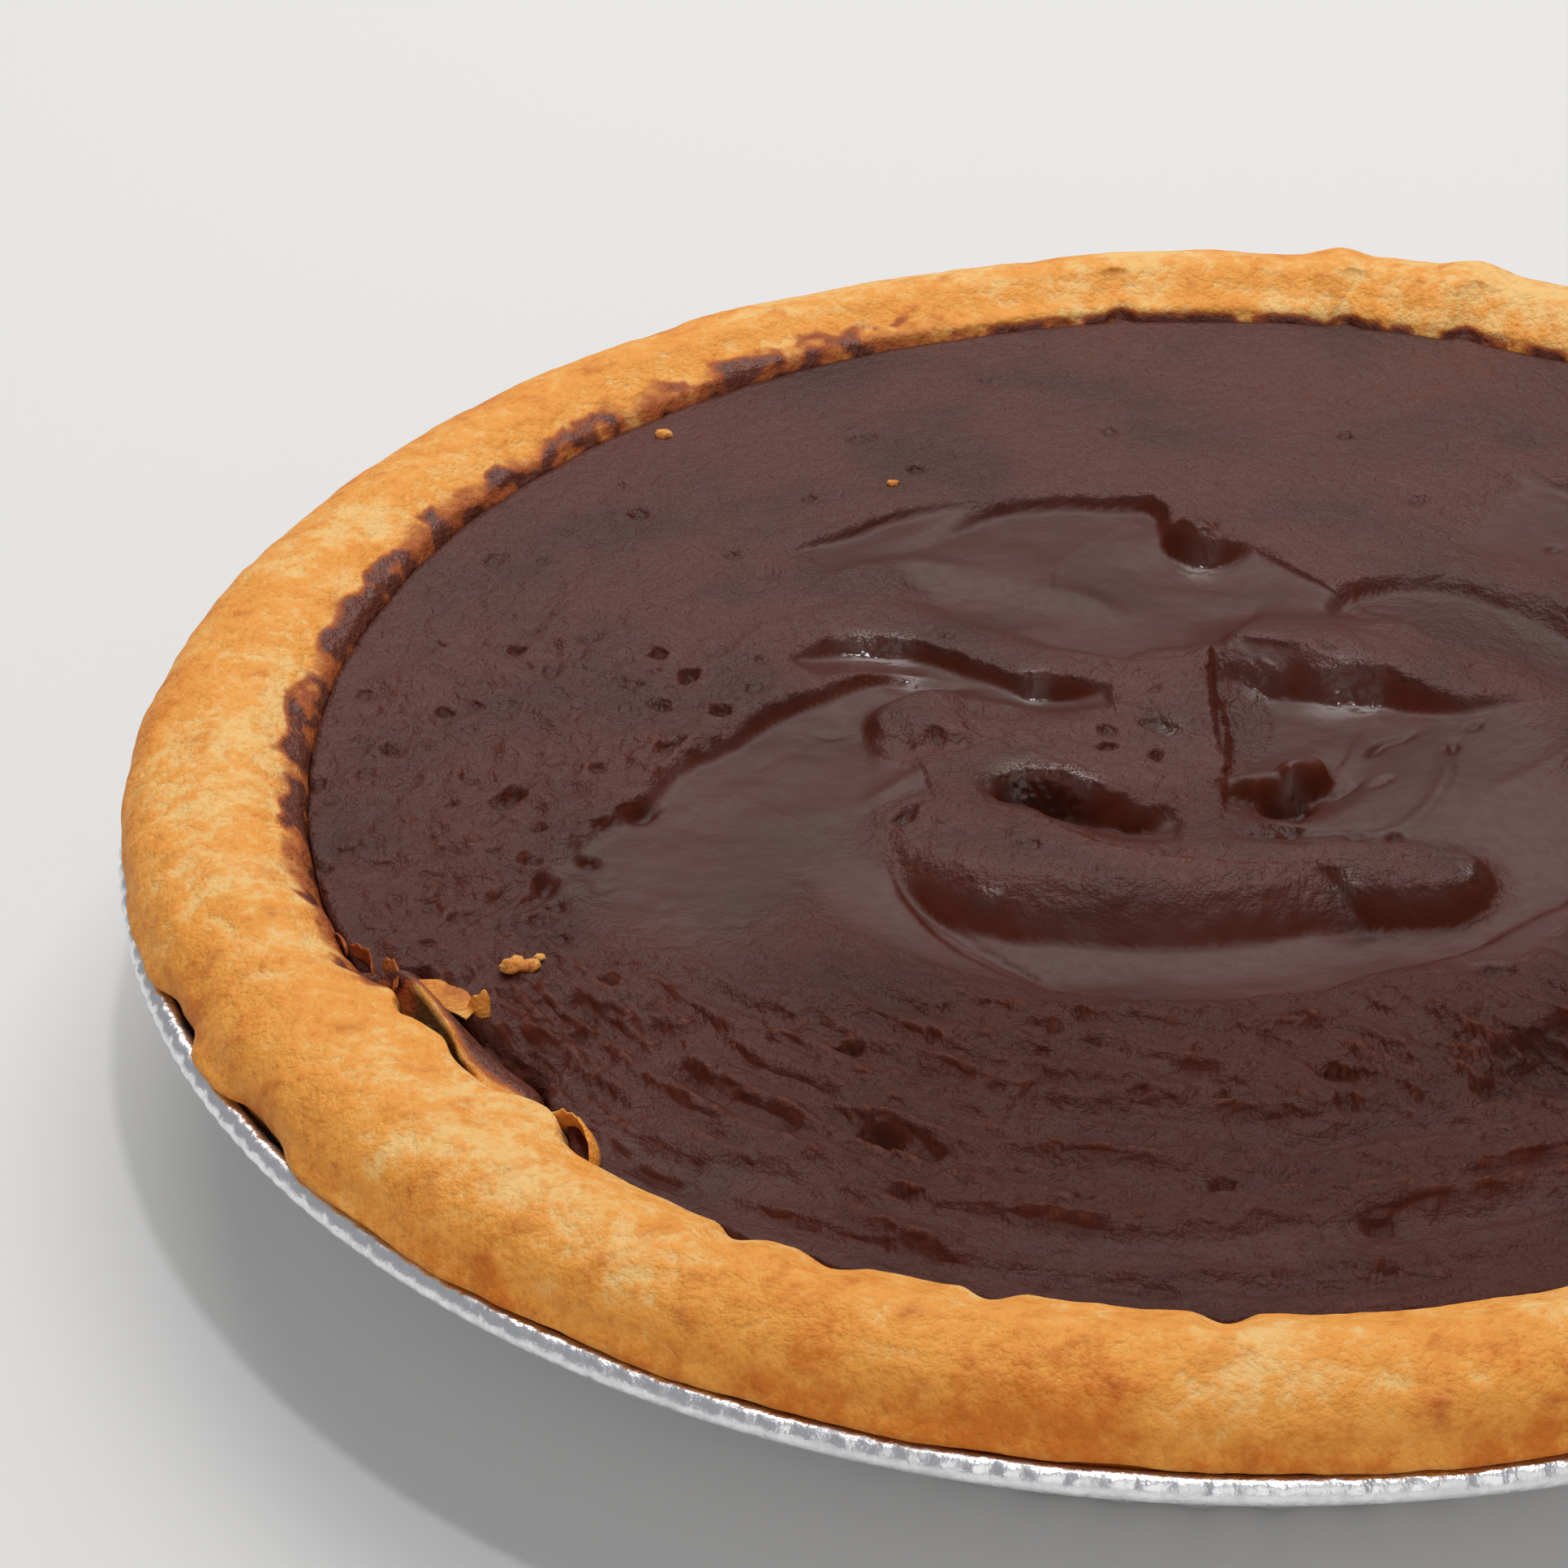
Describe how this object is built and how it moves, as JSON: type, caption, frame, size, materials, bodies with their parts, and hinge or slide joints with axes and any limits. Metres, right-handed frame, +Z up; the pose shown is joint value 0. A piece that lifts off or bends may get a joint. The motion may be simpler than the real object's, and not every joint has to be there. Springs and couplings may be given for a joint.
{
  "type": "chocolate pie",
  "caption": "Whole chocolate pie with a swirled chocolate filling and a thick baked pastry rim, in its own fluted foil tin.",
  "frame": {"origin": "centre of the tin's flat base, on the surface it stands on", "axes": "+Z up along the pie's axis, +X to the viewer's right, +Y away from the viewer; the torn stretch of pastry is at -X -Y"},
  "size_m": [0.24, 0.24, 0.0381],
  "materials": {
    "foil": "bright",
    "baked_pastry": "baked, golden brown, mottled",
    "chocolate": "satin, smooth set chocolate"
  },
  "bodies": {
    "root": {"foil_tin": "foil", "crust": "baked_pastry", "filling": "chocolate"}
  },
  "joints": []
}
